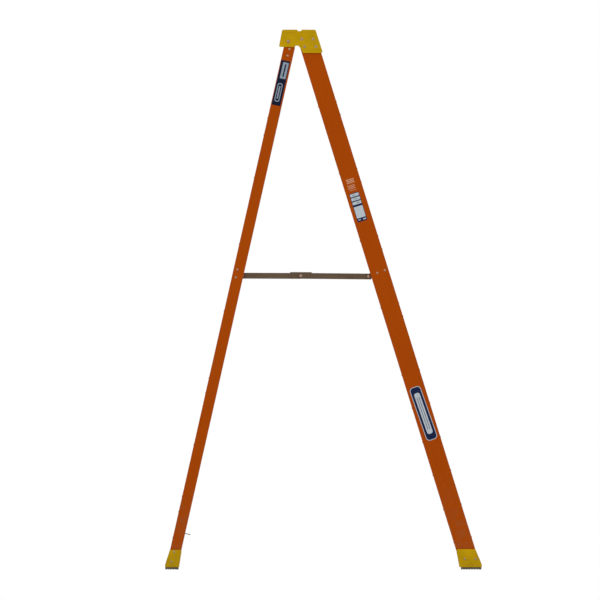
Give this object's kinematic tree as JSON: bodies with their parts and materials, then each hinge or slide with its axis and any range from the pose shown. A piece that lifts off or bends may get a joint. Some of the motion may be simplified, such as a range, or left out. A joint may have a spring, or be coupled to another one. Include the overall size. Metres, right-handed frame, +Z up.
{
  "type": "orchard stepladder",
  "caption": "Tall free-standing stepladder for orchard and vineyard work: glass-fibre rails, ribbed treads, moulded yellow cap, folding side spreaders.",
  "frame": {"origin": "middle of the floor outline, on the floor", "axes": "+X towards the climbing side, +Y to the climber's right, +Z up"},
  "size_m": [1.374, 0.6374, 2.341],
  "materials": {
    "rail_orange": "pultruded glass-fibre channel, satin, fine lengthwise fibres",
    "cap_yellow": "moulded polypropylene, lightly textured",
    "alloy": "mill-finish extrusion, brushed lengthwise",
    "rivet_metal": "pressed rivet heads, slightly dulled",
    "spreader_steel": "plated steel strip with brown tinge",
    "sole_rubber": "black ribbed rubber, dusty"
  },
  "bodies": {
    "front_section": {"front_rail_left": "rail_orange", "front_rail_right": "rail_orange", "step_1": "alloy", "step_2": "alloy", "step_3": "alloy", "step_4": "alloy", "step_5": "alloy", "step_6": "alloy", "step_7": "alloy", "knee_braces_front_left": "alloy", "knee_braces_front_right": "alloy", "knee_braces_rear_left": "alloy", "knee_braces_rear_right": "alloy", "short_braces_left": "alloy", "short_braces_right": "alloy", "top_cap": "cap_yellow", "cap_rivets": "rivet_metal", "hinge_pins": "rivet_metal", "front_bracket_left": "spreader_steel", "front_bracket_right": "spreader_steel", "front_pivots": "rivet_metal", "front_flange_rivets": "rivet_metal", "front_web_rivets": "rivet_metal", "front_boot_left": "cap_yellow", "front_boot_right": "cap_yellow", "front_sole_left": "sole_rubber", "front_sole_right": "sole_rubber"},
    "rear_section": {"rear_rail_left": "rail_orange", "rear_rail_right": "rail_orange", "rear_bar_1": "alloy", "rear_bar_2": "alloy", "rear_bar_3": "alloy", "rear_bar_4": "alloy", "rear_bar_5": "alloy", "rear_bar_6": "alloy", "rear_bar_7": "alloy", "bar_braces_left": "alloy", "bar_braces_right": "alloy", "lower_tabs": "spreader_steel", "hinge_strap_left": "spreader_steel", "hinge_strap_right": "spreader_steel", "rear_bracket_left": "spreader_steel", "rear_bracket_right": "spreader_steel", "rear_pivots": "rivet_metal", "rear_flange_rivets": "rivet_metal", "rear_web_rivets": "rivet_metal", "rear_boot_left": "cap_yellow", "rear_boot_right": "cap_yellow", "rear_sole_left": "sole_rubber", "rear_sole_right": "sole_rubber"},
    "front_link_left": {"front_link_left": "spreader_steel", "centre_rivet_front_left": "rivet_metal"},
    "front_link_right": {"front_link_right": "spreader_steel", "centre_rivet_front_right": "rivet_metal"},
    "rear_link_left": {"rear_link_left": "spreader_steel", "centre_rivet_rear_left": "rivet_metal"},
    "rear_link_right": {"rear_link_right": "spreader_steel", "centre_rivet_rear_right": "rivet_metal"}
  },
  "joints": [
    {"name": "rear_fold", "type": "hinge", "parent": "front_section", "child": "rear_section", "pos_m": [-0.1524, 0, 2.2895], "axis": [0, -1, 0], "range_deg": [0, 29]},
    {"name": "front_link_left_turn", "type": "hinge", "parent": "front_section", "child": "front_link_left", "pos_m": [0.197, -0.19941, 1.27037], "axis": [0, 0.9979, -0.0651], "range_deg": [0, 70.9]},
    {"name": "rear_link_left_turn", "type": "hinge", "parent": "rear_section", "child": "rear_link_left", "pos_m": [-0.35, -0.19246, 1.27394], "axis": [0, -0.9979, 0.0651], "range_deg": [0, 75.7]},
    {"name": "front_link_right_turn", "type": "hinge", "parent": "front_section", "child": "front_link_right", "pos_m": [0.197, 0.19941, 1.27037], "axis": [0, 0.9979, 0.0651], "range_deg": [0, 70.9]},
    {"name": "rear_link_right_turn", "type": "hinge", "parent": "rear_section", "child": "rear_link_right", "pos_m": [-0.35, 0.19246, 1.27394], "axis": [0, -0.9979, -0.0651], "range_deg": [0, 75.7]}
  ],
  "couplings": [
    {"joint": "front_link_left_turn", "follows": "rear_fold", "ratio": 2.4439},
    {"joint": "rear_link_left_turn", "follows": "rear_fold", "ratio": 2.6072},
    {"joint": "front_link_right_turn", "follows": "rear_fold", "ratio": 2.4439},
    {"joint": "rear_link_right_turn", "follows": "rear_fold", "ratio": 2.6072}
  ]
}
